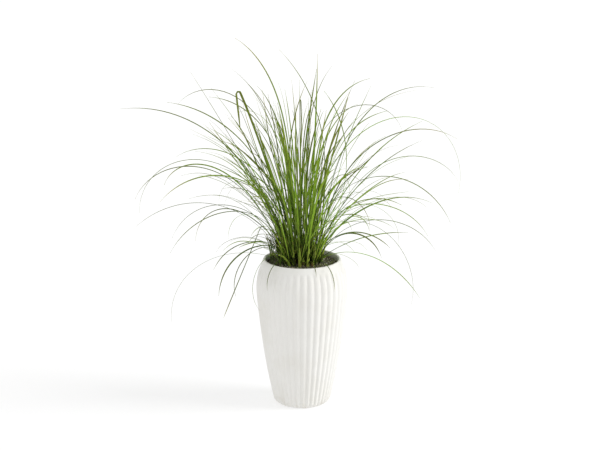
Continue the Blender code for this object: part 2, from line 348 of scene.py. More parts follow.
class ShapeTree(Tree):
    """A Geometry Nodes tree that starts from a mesh and ends in one with a material."""

    def __init__(self, name: str) -> None:
        """Make the tree with its geometry and material inputs.

        Args:
            name: Its name.
        """
        super().__init__(bpy.data.node_groups.new(name, "GeometryNodeTree"))
        self.entry = self.nodes.nodes.new("NodeGroupInput")
        self.start = self.size("Geometry", "NodeSocketGeometry")
        self.material = self.size("Material", "NodeSocketMaterial")
        end = {"in_out": "OUTPUT", "socket_type": "NodeSocketGeometry"}
        self.nodes.interface.new_socket("Geometry", **end)

    def size(self, name: str, kind: str = "NodeSocketFloat") -> Value:
        """Add a named input and return it."""
        self.nodes.interface.new_socket(name, in_out="INPUT", socket_type=kind)
        return Value(self, self.entry.outputs[name])

    def sizes(self, *names: str) -> list[Value]:
        """Add several named numbers and return them in order."""
        return [self.size(name) for name in names]

    def attribute(self, name: str, data_type: str = "FLOAT") -> Value:
        """Return what the geometry carries under this name."""
        settings = {"data_type": data_type}
        return self.node("GeometryNodeInputNamedAttribute", settings, {"Name": name})

    def position(self) -> Value:
        """Return where each point is."""
        return self.node("GeometryNodeInputPosition")

    def index(self) -> Value:
        """Return the number of each point."""
        return self.node("GeometryNodeInputIndex")

    def random(self, low: float | Point, high: float | Point, seed: int | Value) -> Value:
        """Return a random number, or a random vector, for each element."""
        settings = {"data_type": "FLOAT_VECTOR" if isinstance(low, tuple) else "FLOAT"}
        return self.node("FunctionNodeRandomValue", settings, {"Min": low, "Max": high, "Seed": seed})

    def store(self, geometry: Value, name: str, value: Value, data_type: str = "FLOAT") -> Value:
        """Write a value on the geometry's points.

        Args:
            geometry: The geometry.
            name: The name it is kept under.
            value: The value.
            data_type: Its type.

        Returns:
            The geometry with the value.
        """
        settings = {"data_type": data_type, "domain": "POINT"}
        sockets = {"Geometry": geometry, "Name": name, "Value": value}
        return self.node("GeometryNodeStoreNamedAttribute", settings, sockets)

    def move(self, geometry: Value, **sockets: Value) -> Value:
        """Set or offset the geometry's points."""
        fed = {"Geometry": geometry, **{name.title(): value for name, value in sockets.items()}}
        return self.node("GeometryNodeSetPosition", None, fed)

    def finish(self, geometry: Value) -> None:
        """Drop scratch attributes, realize instances, set the material and end the tree.

        Args:
            geometry: The geometry that the tree ends in.
        """
        sockets = {0: geometry, "Name": "grow_*"}
        clean = self.node("GeometryNodeRemoveAttribute", {"pattern_mode": "WILDCARD"}, sockets)
        real = self.node("GeometryNodeRealizeInstances", None, {"Geometry": clean})
        sockets = {"Geometry": real, "Material": self.material}
        dressed = self.node("GeometryNodeSetMaterial", None, sockets)
        self.feed(self.nodes.nodes.new("NodeGroupOutput").inputs[0], dressed)

    def grow(self, name: str, seed: bpy.types.Mesh, sizes: dict) -> bpy.types.Mesh:
        """Run the tree on a mesh and return the result as a plain mesh.

        Args:
            name: The new mesh's name.
            seed: The mesh that the tree starts from. It is removed.
            sizes: Values for the tree's inputs, each under its name in small letters with
                underscores, so that "rib_depth" goes to "Rib Depth". Others are left alone.

        Returns:
            The finished mesh.
        """
        item = link(name, seed)
        modifier = item.modifiers.new("Grow", "NODES")
        modifier.node_group = self.nodes
        for socket in self.nodes.interface.items_tree:
            value = sizes.get(socket.name.lower().replace(" ", "_"))
            if value is not None and socket.in_out == "INPUT":
                is_float = socket.socket_type == "NodeSocketFloat"
                modifier[socket.identifier] = float(value) if is_float else value
        graph = bpy.context.evaluated_depsgraph_get()
        mesh = bpy.data.meshes.new_from_object(item.evaluated_get(graph), depsgraph=graph)
        bpy.data.objects.remove(item)
        bpy.data.meshes.remove(seed)
        mesh.name = name
        return mesh


def link(name: str, data: bpy.types.ID) -> bpy.types.Object:
    """Put an object in the scene.

    Args:
        name: Its name.
        data: Its mesh, lamp or camera.

    Returns:
        The object.
    """
    item = bpy.data.objects.new(name, data)
    bpy.context.scene.collection.objects.link(item)
    return item


def numbers_mesh(points: list[Point], edges: list, numbers: dict[str, list]) -> bpy.types.Mesh:
    """Make a mesh of points that carry numbers.

    Args:
        points: The points.
        edges: Pairs of points that an edge joins.
        numbers: For each name, one number for each point.

    Returns:
        The mesh.
    """
    mesh = bpy.data.meshes.new("seed")
    mesh.from_pydata(points, edges, [])
    for name, values in numbers.items():
        layer = mesh.attributes.new(name, "FLOAT", "POINT")
        layer.data.foreach_set("value", [float(value) for value in values])
    return mesh


def show(name: str, mesh: bpy.types.Mesh, slot: Slot, *nodes: str) -> None:
    """Put a finished mesh in the scene as a piece of the object.

    Args:
        name: The piece's name.
        mesh: Its mesh, in place.
        slot: The record's slot that its finish comes from. Not used.
        nodes: The frame's nodes that it stands for.
    """
    piece = link(name, mesh)
    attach(piece, BODY)
    if nodes:
        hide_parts(*nodes)
    LOG.info("%s: %d faces", name, len(mesh.polygons))


# --- Finishes --------------------------------------------------------------------------------


@dataclass(frozen=True)
class MattGlaze:
    """The pot's matt white glaze: even, slightly warm, a little darker in patches towards the foot."""

    body: Colour = srgb(231, 230, 226)
    thin: Colour = srgb(224, 222, 215)
    soil: Colour = srgb(204, 198, 184)
    soil_height: float = 0.05
    soil_scale: float = 60.0
    cloud_scale: float = 14.0
    speck_scale: float = 900.0
    grain_scale: float = 420.0
    grain_depth: float = 0.0002

    def material(self) -> bpy.types.Material:
        """Build the glaze.

        Returns:
            The material.
        """
        tree = MaterialTree("matt_white_glaze")
        place = tree.place()
        height = tree.split(place)[2]
        cloud = tree.noise(place, self.cloud_scale).rise(0.42, 0.68)
        speck = tree.noise(place, self.speck_scale, 1.0).rise(0.70, 0.78)
        # Patches of the darker tint near the foot, fading out upwards; the same tint marks the specks.
        low = 1 - height.rise(0.0, self.soil_height)
        soil = low * tree.noise(place, self.soil_scale).rise(0.40, 0.75) * 0.5
        coats = (cloud * 0.45, self.thin), (speck * 0.25, self.soil), (soil, self.soil)
        grain = tree.noise(place, self.grain_scale, 4.0, 0.6)
        return tree.finish(
            {
                "Base Color": tree.coats(self.body, *coats),
                "Roughness": 0.50 + 0.10 * grain + 0.06 * cloud,
                "Normal": tree.bump(grain, 0.35, self.grain_depth),
            }
        )


@dataclass(frozen=True)
class GrassSkin:
    """The green of a leaf: pale at its sheath, darkened in the crown with painted shade and dry at its
    tip.
    """

    sheath: Colour = srgb(172, 194, 78)
    papery: Colour = srgb(134, 110, 68)
    deep: Colour = srgb(20, 54, 22)
    shaded: Colour = srgb(4, 20, 14)
    fresh: Colour = srgb(128, 170, 48)
    vein: Colour = srgb(172, 192, 70)
    tip: Colour = srgb(122, 122, 44)
    dry: Colour = srgb(146, 142, 74)
    vein_count: float = 7.0
    vein_depth: float = 0.00012
    mottle_scale: float = 55.0
    crown_radius: Range = (0.05, 0.11)
    crown_level: Range = (0.40, 0.60)
    glow_depth: float = 0.0015

    def material(self) -> bpy.types.Material:
        """Build the leaf's finish.

        Returns:
            The material.
        """
        tree = MaterialTree("grass_leaf")
        place = tree.place()
        along, across = tree.painted("along"), abs(tree.painted("across"))
        tone, dry = tree.painted("tone"), tree.painted("dry")
        sheath, under = tree.painted("sheath"), tree.painted("under")
        mottle = tree.noise(place, self.mottle_scale, 2.0)
        vein = (across * (math.pi * self.vein_count)).cos() * 0.5 + 0.5
        midrib = (1 - across.rise(0.05, 0.22)) * (1 - along.rise(0.5, 0.9))
        root = (1 - along.rise(0.02, 0.30)) * tone.rise(0.45, 0.85)
        x, y, z = tree.split(place)
        # Painted shade: leaves of low tone turn near black towards the middle of the crown and low down,
        # where the clump shades itself.
        crown = (1 - tree.radius(x, y).rise(*self.crown_radius)) * (1 - z.rise(*self.crown_level))
        wilt = along.rise(1 - 0.55 * dry, 1.05 - 0.25 * dry)
        green = tree.coats(
            tree.blend((tone + (mottle - 0.5) * 0.5).rise(0.0, 1.0), self.deep, self.fresh),
            (vein * 0.16, self.vein),
            (midrib * 0.55, self.vein),
            (under * 0.18, self.vein),
            (root * 0.6, self.sheath),
            (crown * (1 - tone.rise(0.45, 0.75)) * 0.75, self.shaded),
            (along.rise(0.35, 1.0) * 0.6, self.tip),
            (wilt * dry.rise(0.0, 0.4), self.dry),
        )
        # Painted shade: sheaths of low tone keep the near-black shade colour, and paler ones take the
        # sheath green.
        pale = tone.rise(0.4, 0.95) * (1 - 0.4 * mottle.rise(0.45, 0.8))
        coats = (pale, self.sheath), (vein * 0.2, self.fresh), (dry, self.papery)
        casing = tree.coats(self.shaded, *coats)
        return tree.finish(
            {
                "Base Color": tree.blend(sheath, green, casing),
                "Roughness": 0.42 + 0.16 * mottle + 0.2 * wilt,
                "Normal": tree.bump(vein, 0.4, self.vein_depth),
                "Specular IOR Level": 0.08,
                "Subsurface Weight": 0.15,
                "Subsurface Radius": (0.5, 1.0, 0.2),
                "Subsurface Scale": self.glow_depth,
            }
        )


@dataclass(frozen=True)
class Compost:
    """Dark fibrous compost, damp in the hollows and paler on its crumbs."""

    damp: Colour = srgb(28, 22, 16)
    crumb: Colour = srgb(108, 102, 76)
    fibre: Colour = srgb(160, 150, 120)
    moss: Colour = srgb(84, 98, 48)
    lump_scale: float = 160.0
    fine_scale: float = 900.0
    fibre_scale: float = 380.0
    moss_scale: float = 40.0
    depth: float = 0.0015

    def material(self) -> bpy.types.Material:
        """Build the compost's finish.

        Returns:
            The material.
        """
        tree = MaterialTree("compost")
        place = tree.place()
        lump = tree.noise(place, self.lump_scale, 5.0, 0.65)
        fine = tree.noise(place, self.fine_scale, 4.0, 0.7)
        combed = place * tree.vector(1.0, 3.0, 1.0)
        fibre = tree.noise(combed, self.fibre_scale, 2.0).rise(0.62, 0.70)
        moss = tree.noise(place, self.moss_scale).rise(0.56, 0.70) * fine.rise(0.4, 0.6)
        coats = (lump.rise(0.42, 0.70), self.crumb), (fibre * 0.6, self.fibre), (moss * 0.7, self.moss)
        return tree.finish(
            {
                "Base Color": tree.coats(self.damp, *coats),
                "Roughness": 0.80 + 0.18 * lump,
                "Normal": tree.bump(lump * 0.6 + fine * 0.4, 0.9, self.depth),
            }
        )


@dataclass(frozen=True)
class LooseBits:
    """One kind of loose bits: how it is strewn, and its three colours by the tone of a bit.

    Density is bits to a square metre, spread how much smaller most bits are than the largest, side
    bias how many more lie at the right, and detail how round a bit is.
    """

    name: str
    dark: Colour
    middle: Colour
    light: Colour
    density: float
    crumb_size: float
    spread: float
    side_bias: float
    seed: int
    detail: int = 2
    middle_tone: float = 0.55
    grain_scale: float = 1400.0
    grain_depth: float = 0.0006

    def material(self) -> bpy.types.Material:
        """Build the bits' finish.

        Returns:
            The material.
        """
        tree = MaterialTree(self.name)
        place = tree.place()
        stops = [(0.0, self.dark), (self.middle_tone, self.middle), (1.0, self.light)]
        tone = tree.painted("tone")
        ramp = tree.node("ShaderNodeValToRGB", {"stops": stops}, {"Fac": tone})
        grain = tree.noise(place, self.grain_scale, 3.0, 0.6)
        return tree.finish(
            {
                "Base Color": tree.blend(grain.rise(0.3, 0.7) * 0.4, ramp, self.dark),
                "Roughness": 0.75 + 0.2 * grain,
                "Normal": tree.bump(grain, 0.7, self.grain_depth),
            }
        )


LOOSE_BITS = (
    LooseBits(
        "loose_crumbs", srgb(46, 40, 28), srgb(118, 110, 84), srgb(186, 178, 150),
        density=46000.0, crumb_size=0.0034, spread=0.75, side_bias=0.1, seed=11,
    ),
    LooseBits(
        "pale_grit", srgb(120, 116, 106), srgb(168, 162, 148), srgb(214, 208, 194),
        density=5200.0, crumb_size=0.0034, spread=0.6, side_bias=0.8, seed=23,
    ),
    LooseBits(
        "moss_flecks", srgb(70, 88, 36), srgb(112, 128, 62), srgb(158, 170, 104),
        density=22000.0, crumb_size=0.0026, spread=0.6, side_bias=0.9, seed=37, detail=1,
    ),
)


# --- Pot and compost -------------------------------------------------------------------------


def through(points: list[tuple[float, float]], pieces: int) -> list[tuple[float, float]]:
    """Return a smooth curve through points of a profile.

    Args:
        points: The points, as radius and height.
        pieces: Pieces between neighbouring points.

    Returns:
        The curve's points, without the last.
    """
    knots = np.array([points[0], *points, points[-1]])
    curve = []
    for before, start, end, after in zip(knots, knots[1:], knots[2:], knots[3:]):
        for share in np.arange(pieces) / pieces:
            even = 2 * start + (end - before) * share
            bend = (2 * before - 5 * start + 4 * end - after) * share**2
            twist = (3 * start - before - 3 * end + after) * share**3
            curve.append(tuple((even + bend + twist) / 2))
    return curve


def arc(centre: tuple[float, float], radius: float, start: float, end: float, pieces: int) -> list:
    """Return points along an arc of a profile.

    Args:
        centre: The arc's centre, as radius and height.
        radius: The arc's own radius.
        start: The angle where it starts, from the outward direction up.
        end: The angle where it ends.
        pieces: Pieces along it.

    Returns:
        Its points, both ends included.
    """
    angles = np.radians(np.linspace(start, end, pieces + 1))
    return [(centre[0] + radius * math.cos(a), centre[1] + radius * math.sin(a)) for a in angles]


class Lathe:
    """Geometry Nodes tree that turns a profile about the axis and presses ribs into its outside."""

    weld: float = 1e-5

    def __init__(self) -> None:
        """Build the tree."""
        tree = ShapeTree("turn_on_lathe")
        steps = tree.size("Steps", "NodeSocketInt")
        count, depth, turn = tree.sizes("Rib Count", "Rib Depth", "Rib Turn")
        foot, full_top, top = tree.sizes("Rib Full Foot", "Rib Full Top", "Rib Top")
        softness = tree.size("Valley Softness")
        profile = tree.node("GeometryNodeMeshToCurve", None, {0: tree.start})
        circle = tree.node("GeometryNodeCurvePrimitiveCircle", None, {"Resolution": steps})
        circle = tree.store(circle, "grow_turn", tree.index() / steps)
        sweep = {"Curve": circle, "Profile Curve": profile}
        wall = tree.node("GeometryNodeCurveToMesh", None, sweep)
        radius, level = tree.attribute("grow_radius"), tree.attribute("grow_level")
        angle = tree.attribute("grow_turn") * (2 * math.pi)
        wave = ((angle - turn.radians()) * (count / 2)).cos()
        ridge = tree.maths("SQRT", wave * wave + softness)
        fade = level.rise(0.0, foot) * (1 - level.rise(full_top, top))
        pressed = radius - depth * (1 - ridge) * fade * tree.attribute("grow_outside")
        place = tree.vector(pressed * angle.cos(), pressed * angle.sin(), level)
        weld = {"Geometry": tree.move(wall, position=place), "Distance": self.weld}
        tree.finish(tree.node("GeometryNodeMergeByDistance", None, weld))
        self.tree = tree

    def turn(self, name: str, inside: list, outside: list, sizes: dict) -> bpy.types.Mesh:
        """Turn a profile.

        Args:
            name: The mesh's name.
            inside: The plain part of the profile, as radius and height, from the axis on.
            outside: The part that takes ribs, back to the axis.
            sizes: The tree's inputs.

        Returns:
            The closed mesh, with its faces outwards.
        """
        profile = [*inside, *outside]
        numbers = {
            "grow_radius": [radius for radius, _ in profile],
            "grow_level": [level for _, level in profile],
            "grow_outside": [0.0] * len(inside) + [1.0] * len(outside),
        }
        edges = [(place, place + 1) for place in range(len(profile) - 1)]
        seed = numbers_mesh([(radius, 0.0, level) for radius, level in profile], edges, numbers)
        mesh = self.tree.grow(name, seed, sizes)
        mesh.shade_smooth()
        return mesh


@dataclass
class RibbedPot:
    """The tall round pot with its upright ribs and rounded lip."""

    height: float = 0.400
    foot_radius: float = 0.059
    foot_corner: float = 0.019
    belly_radius: float = 0.1220
    lip_radius: float = 0.1000
    lip_half_width: float = 0.0038
    mouth_radius: float = 0.0962
    wall: float = 0.0085
    floor: float = 0.012
    rib_count: int = 40
    rib_depth: float = 0.0030
    rib_turn: float = 2.25
    rib_full_foot: float = 0.002
    rib_full_top: float = 0.372
    rib_top: float = 0.389
    valley_softness: float = 0.004
    steps_per_rib: int = 16
    side_radii: tuple = (0.640, 0.735, 0.828, 0.903, 0.962, 0.997, 0.976, 0.888)
    side_levels: tuple = (0.046, 0.180, 0.340, 0.504, 0.660, 0.785, 0.880, 0.963)
    corner_start: float = -12.0
    lip_end: float = 25.0
    arc_pieces: int = 10
    side_pieces: int = 8
    inside_pieces: int = 4

    def side(self) -> list[tuple[float, float]]:
        """Return the outer side from the foot's corner up to the lip, from shares of its sizes."""
        shares = zip(self.side_radii, self.side_levels)
        return [(share * self.belly_radius, level * self.height) for share, level in shares]

    def outside(self) -> list[tuple[float, float]]:
        """Return the outer profile from the lip's outer edge down to the middle of the foot.

        Returns:
            Its points, as radius and height.
        """
        centre = (self.foot_radius, self.foot_corner)
        corner = arc(centre, self.foot_corner, self.corner_start, -90.0, self.arc_pieces)
        curve = through([self.lip()[-1], *self.side()[:0:-1], corner[0]], self.side_pieces)
        return [*curve[1:], *corner, (self.foot_radius / 2, 0.0), (0.0, 0.0)]

    def lip(self) -> list[tuple[float, float]]:
        """Return the rounded lip from its inner edge over to its outer edge."""
        centre = (self.lip_radius, self.height - self.lip_half_width)
        return arc(centre, self.lip_half_width, 180.0, self.lip_end, self.arc_pieces)

    def inside(self, gap: float = 0.0) -> list[tuple[float, float]]:
        """Return the inner profile from the middle of the floor up to the mouth.

        Args:
            gap: How far it stays off the wall and the floor.

        Returns:
            Its points, as radius and height.
        """
        points = [(radius - self.wall - gap, level) for radius, level in self.side()[1:-1:2]]
        floor_edge = (points[0][0] - self.wall, self.floor + gap)
        mouth = (self.mouth_radius - gap, self.height - 3 * self.lip_half_width)
        wall = through([floor_edge, *points, mouth], self.inside_pieces)
        return [(0.0, self.floor + gap), *wall, mouth]

    def build(self, lathe: Lathe, glaze: bpy.types.Material) -> None:
        """Turn the pot, press its ribs and glaze it.

        Args:
            lathe: The tree that turns it.
            glaze: Its finish.
        """
        sizes = {**vars(self), "material": glaze, "steps": self.rib_count * self.steps_per_rib}
        inside = [*self.inside(), *self.lip()]
        mesh = lathe.turn("ribbed_pot", inside, self.outside(), sizes)
        show("ribbed_pot", mesh, Slot.POT, "pot")


class SoilSwell:
    """Geometry Nodes tree that makes the top of the turned compost uneven."""

    lump_scale: float = 45.0
    crumb_scale: float = 230.0
    edge_share: float = 0.93

    def __init__(self) -> None:
        """Build the tree."""
        tree = ShapeTree("swell_compost")
        lump, crumb = tree.sizes("Lump Height", "Crumb Height")
        edge, floor = tree.sizes("Edge Radius", "Floor Level")
        place = tree.position()
        x, y, z = tree.split(place)
        radius = tree.radius(x, y)
        top = z.over(floor) * (1 - radius.rise(edge * self.edge_share, edge))
        lumps = (tree.noise(place, self.lump_scale, 2.0) - 0.5) * 2
        crumbs = (tree.noise(place, self.crumb_scale, 3.0, 0.6) - 0.5) * 2
        swell = (lumps * lump + crumbs * crumb) * top
        tree.finish(tree.move(tree.start, offset=tree.vector(0.0, 0.0, swell)))
        self.tree = tree


class CrumbScatter:
    """Geometry Nodes tree that strews small lumps over the top of the compost."""

    bare_share: float = 0.30
    smallest: Point = (0.55, 0.45, 0.30)
    largest: Point = (1.35, 1.0, 0.75)
    least_turn: Point = (0.0, 0.0, 0.0)
    most_turn: Point = (1.2, 1.2, 2 * math.pi)
    rough_scale: float = 420.0
    rough_share: float = 0.9
    grade_seed: int = 3
    tone_seed: int = 5
    turn_seed: int = 7

    def __init__(self) -> None:
        """Build the tree."""
        tree = ShapeTree("strew_crumbs")
        density, size, spread = tree.sizes("Density", "Crumb Size", "Spread")
        edge, floor, side = tree.sizes("Edge Radius", "Floor Level", "Side Bias")
        seed, detail = tree.size("Seed", "NodeSocketInt"), tree.size("Detail", "NodeSocketInt")
        place = tree.position()
        x, y, z = tree.split(place)
        radius = tree.radius(x, y)
        on_top = z.over(floor) * radius.over(edge * self.bare_share) * (1 - radius.over(edge))
        weight = on_top * (1 + side * (x / edge))
        sockets = {"Mesh": tree.start, "Density": density * weight.most(0.0), "Seed": seed}
        settings = {"distribute_method": "RANDOM"}
        points = tree.node("GeometryNodeDistributePointsOnFaces", settings, sockets)
        ball = tree.node("GeometryNodeMeshIcoSphere", None, {"Radius": 1.0, "Subdivisions": detail})
        shape = tree.random(self.smallest, self.largest, seed)
        grade = tree.random(0.0, 1.0, self.grade_seed)
        turn = tree.random(self.least_turn, self.most_turn, self.turn_seed)
        sockets = {
            "Points": points,
            "Instance": ball,
            "Scale": shape * (size * (1 - spread * (1 - grade * grade))),
            "Rotation": tree.node("FunctionNodeEulerToRotation", None, {0: turn}),
        }
        strewn = tree.node("GeometryNodeInstanceOnPoints", None, sockets)
        tone = tree.random(0.0, 1.0, self.tone_seed)
        sockets = {"Geometry": strewn, "Name": "tone", "Value": tone}
        toned = tree.node("GeometryNodeStoreNamedAttribute", {"domain": "INSTANCE"}, sockets)
        real = tree.node("GeometryNodeRealizeInstances", None, {"Geometry": toned})
        rough = (tree.noise(place, self.rough_scale, 2.0) - 0.5) * size * self.rough_share
        tree.finish(tree.move(real, offset=tree.node("GeometryNodeInputNormal") * rough))
        self.tree = tree


@dataclass
class CompostBed:
    """The compost in the pot, with the loose bits that lie on it."""

    pot: RibbedPot
    level: float = 0.3885
    edge_level: float = 0.3860
    crown_radius: float = 0.060
    gap: float = 0.0003
    steps: int = 180
    lump_height: float = 0.0014
    crumb_height: float = 0.0012
    top_below: float = 0.0060
    strewn_below: float = 0.002
    strewn_share: float = 0.97
    crown_rings: int = 34
    brim_rings: int = 22

    def profile(self) -> tuple[list, list]:
        """Return the profile of the compost.

        Returns:
            The top from the axis to its edge, and the side back to the axis.
        """
        edge = self.pot.mouth_radius - 2 * self.gap
        flat = np.linspace(0.0, self.crown_radius, self.crown_rings)
        slope = np.linspace(self.crown_radius, edge, self.brim_rings)[1:]
        crown = [(radius, self.level) for radius in flat]
        fall = (self.level - self.edge_level) / (edge - self.crown_radius)
        brim = [(radius, self.level - fall * (radius - self.crown_radius)) for radius in slope]
        side = self.pot.inside(self.gap)[:-1]
        return [*crown, *brim], side[::-1]

    def bed(self, lathe: Lathe, finish: bpy.types.Material) -> bpy.types.Mesh:
        """Turn the compost and make its top uneven.

        Args:
            lathe: The tree that turns it.
            finish: Its finish.

        Returns:
            The closed mesh.
        """
        top, side = self.profile()
        sizes = {**vars(self), "material": finish, "edge_radius": self.pot.mouth_radius}
        mesh = lathe.turn("compost_bed", top, side, sizes)
        floor = self.edge_level - self.top_below
        return SoilSwell().tree.grow("compost_bed", mesh, {**sizes, "floor_level": floor})

    def build(self, lathe: Lathe, finish: bpy.types.Material) -> None:
        """Build the bed and strew the loose bits over it.

        Args:
            lathe: The tree that turns the bed.
            finish: The bed's finish.
        """
        bed = self.bed(lathe, finish)
        scatter = CrumbScatter().tree
        area = {
            "edge_radius": self.strewn_share * self.pot.mouth_radius,
            "floor_level": self.edge_level - self.strewn_below,
        }
        for bits in LOOSE_BITS:
            sizes = {**vars(bits), **area, "material": bits.material()}
            show(bits.name, scatter.grow(bits.name, bed.copy(), sizes), Slot.COMPOST)
        show("compost_bed", bed, Slot.COMPOST, "compost")


# --- Grass clump -----------------------------------------------------------------------------


@dataclass(frozen=True)
class Blade:
    """The course of a blade: the angles at which it leaves and ends, and how late it bends.

    A fold and the angle at which the rest hangs, a width against the others', a tone from deep 0 to
    fresh 1 and a turn about its own length are given where the blade has them.
    """

    length: float
    launch: float
    end: float
    bend: float
    fold_at: float = 0.0
    hang: float = 0.0
    stout: float = 1.0
    tone: float | None = None
    turn: float | None = None


@dataclass(frozen=True)
class Leaf:
    """A leaf or a sheath with everything that shapes and colours it."""

    course: Blade
    root: Point
    heading: float
    width: float
    thickness: float
    keel: float
    taper: float
    tip_share: float
    sway: float = 0.0
    twist: float = 0.0
    wave: float = 0.0
    phase: float = 0.0
    steps: int = 40
    tone: float = 0.5
    dry: float = 0.0
    sheath: float = 0.0

    def numbers(self) -> dict[str, float]:
        """Return the numbers that the tree reads.

        Returns:
            Each number by the name that the tree reads it under.
        """
        course = vars(self.course).items()
        shape = {f"grow_{name}": value for name, value in course if name not in ("tone", "turn")}
        for name, value in vars(self).items():
            if name in ("tone", "dry", "sheath"):
                shape[name] = value
            elif name not in ("course", "root"):
                shape[f"grow_{name}"] = value
        return shape


class LeafGrowth:
    """Geometry Nodes tree that grows a closed leaf from each point of a mesh."""

    wave_turn: float = 9.0
    sway_power: float = 1.5
    twist_power: float = 1.3
    opening: float = 0.85

    def __init__(self) -> None:
        """Build the tree."""
        tree = ShapeTree("grow_leaves")
        self.tree = tree
        self.steps = tree.attribute("grow_steps")
        corners = tree.size("Section Corners", "NodeSocketInt")
        self.fold_length, base_share, widest_at = tree.sizes("Fold Length", "Base Share", "Widest At")
        open_by = tree.size("Open By")
        points = self.section(self.place(self.rows()), base_share, widest_at, open_by)
        sockets = {"Points": points, "Curve Group ID": self.leaf, "Weight": self.along}
        curves = tree.node("GeometryNodePointsToCurves", None, sockets)
        ring = tree.node("GeometryNodeCurvePrimitiveCircle", None, {"Resolution": corners})
        ring = tree.store(ring, "grow_corner", tree.index() / corners)
        sockets = {"Curve": curves, "Profile Curve": ring, "Fill Caps": True}
        skin = tree.node("GeometryNodeCurveToMesh", None, sockets)
        tree.finish(self.wrap(skin))

    def read(self, name: str) -> Value:
        """Return a number of the leaf's row."""
        return self.tree.attribute(f"grow_{name}")

    def rows(self) -> Value:
        """Copy each leaf's point once for each step along it.

        Returns:
            The points, with their share of the leaf's length.
        """
        tree = self.tree
        points = tree.node("GeometryNodeMeshToPoints", None, {"Mesh": tree.start})
        points = tree.store(points, "grow_leaf", tree.index(), "INT")
        sockets = {"Geometry": points, "Amount": self.steps + 1}
        copies = tree.node("GeometryNodeDuplicateElements", {"domain": "POINT"}, sockets)
        share = copies.out("Duplicate Index") / self.steps
        self.leaf = tree.attribute("grow_leaf", "INT")
        self.along = tree.attribute("along")
        return tree.store(copies, "along", share)

    def climb(self, share: Value) -> Value:
        """Return how steep the blade is at a share of its length.

        Args:
            share: The share.

        Returns:
            The angle above the horizontal, in radians.
        """
        launch, end, bend = self.read("launch"), self.read("end"), self.read("bend")
        wave = (share * self.wave_turn + self.read("phase")).sin() * self.read("wave") * share
        climb = launch + (end - launch) * share.most(0.0) ** bend + wave
        fold_at, half = self.read("fold_at"), self.fold_length / self.read("length") / 2
        turn = ((share - fold_at + half) / (2 * half)).most(0.0).least(1.0) * fold_at.over(0.0)
        return (climb + (self.read("hang") - climb) * turn).radians()

    def frame_at(self, share: Value) -> tuple[Value, Value, Value]:
        """Return how the blade lies at a share of its length.

        Args:
            share: The share.

        Returns:
            The directions along, across and square to it.
        """
        tree = self.tree
        climb = self.climb(share)
        sway = self.read("sway") * share.most(0.0) ** self.sway_power
        heading = (self.read("heading") + sway).radians()
        level, rise = climb.cos(), climb.sin()
        ahead = tree.vector(level * heading.cos(), level * heading.sin(), rise)
        side = tree.vector(-heading.sin(), heading.cos(), 0.0)
        return ahead, side, tree.maths("CROSS_PRODUCT", ahead, side)

    def place(self, points: Value) -> Value:
        """Lay the points out along their blades, one short step after another.

        Args:
            points: The points, all still at the roots.

        Returns:
            The points in place.
        """
        tree = self.tree
        ahead, _, _ = self.frame_at(self.along + 0.5 / self.steps)
        pace = ahead * (self.read("length") / self.steps)
        settings = {"data_type": "FLOAT_VECTOR", "domain": "POINT"}
        sockets = {"Value": pace, "Group ID": self.leaf}
        walked = tree.node("GeometryNodeAccumulateField", settings, sockets).out("Trailing")
        points = tree.move(points, offset=walked)
        return tree.store(points, "grow_middle", tree.position(), "FLOAT_VECTOR")

    def section(self, points: Value, base_share: Value, widest_at: Value, open_by: Value) -> Value:
        """Store how far the section reaches across, up at its edges and through its thickness.

        Args:
            points: The points along the blades.
            base_share: The width at the root, as a share of the widest.
            widest_at: The share of the length where a blade is widest.
            open_by: The share of the length by which its keel has opened.

        Returns:
            The points with the three reaches.
        """
        tree, along = self.tree, self.along
        _, side, square = self.frame_at(along)
        twist = (self.read("twist") * along**self.twist_power).radians()
        across = side * twist.cos() + square * twist.sin()
        upward = square * twist.cos() - side * twist.sin()
        widening = base_share + (1 - base_share) * (along / widest_at).least(1.0)
        narrowing = 1 - along ** self.read("taper")
        share = (widening * narrowing).most(self.read("tip_share"))
        keel = (self.read("keel") * (1 - along.rise(0.0, open_by) * self.opening)).radians()
        half = self.read("width") * share / 2
        reaches = {
            "grow_across": across * (half * keel.cos()),
            "grow_lift": upward * (half * keel.sin()),
            "grow_thick": upward * (self.read("thickness") * share**0.5 / 2),
        }
        for name, reach in reaches.items():
            points = tree.store(points, name, reach, "FLOAT_VECTOR")
        return points

    def wrap(self, skin: Value) -> Value:
        """Move the swept skin's corners to the real section.

        Args:
            skin: The skin, swept round.

        Returns:
            The skin in its real shape, with marks for its finish.
        """
        tree = self.tree
        angle = tree.attribute("grow_corner") * (2 * math.pi)
        aside, above = angle.cos(), angle.sin()
        place = tree.attribute("grow_middle", "FLOAT_VECTOR")
        for name, share in ("across", aside), ("lift", abs(aside)), ("thick", above):
            place = place + tree.attribute(f"grow_{name}", "FLOAT_VECTOR") * share
        skin = tree.store(tree.move(skin, position=place), "across", aside)
        return tree.store(skin, "under", (-above).most(0.0))


